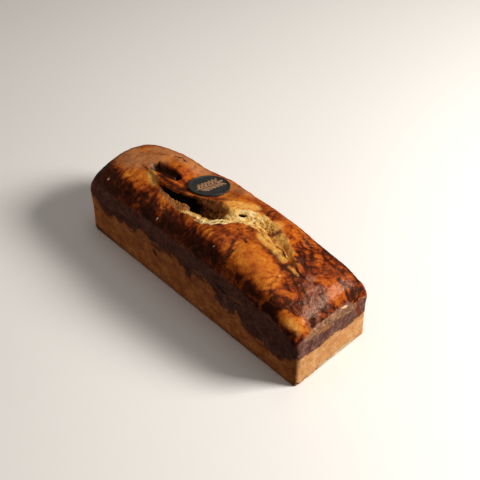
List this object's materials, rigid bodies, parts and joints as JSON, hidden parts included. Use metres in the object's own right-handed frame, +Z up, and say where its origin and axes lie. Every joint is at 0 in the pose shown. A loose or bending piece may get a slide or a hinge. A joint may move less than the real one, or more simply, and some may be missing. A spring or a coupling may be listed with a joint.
{
  "type": "marble loaf cake",
  "caption": "Long uncut marble loaf cake with a risen, split crown and a small round plaque resting on the crust beside the split.",
  "frame": {"origin": "centre of the loaf's flat base, on the surface it stands on", "axes": "+X along the loaf towards its squarer end, +Z up, +Y towards the side that the plaque leans to"},
  "size_m": [0.286, 0.088, 0.0934],
  "materials": {
    "baked_cake": "glossy orange-brown crust with dark chocolate marbling over a tan crumb",
    "dark_plaque": "charcoal satin with a small bronze sprig"
  },
  "bodies": {
    "root": {"cake": "baked_cake", "plaque": "dark_plaque"}
  },
  "joints": []
}
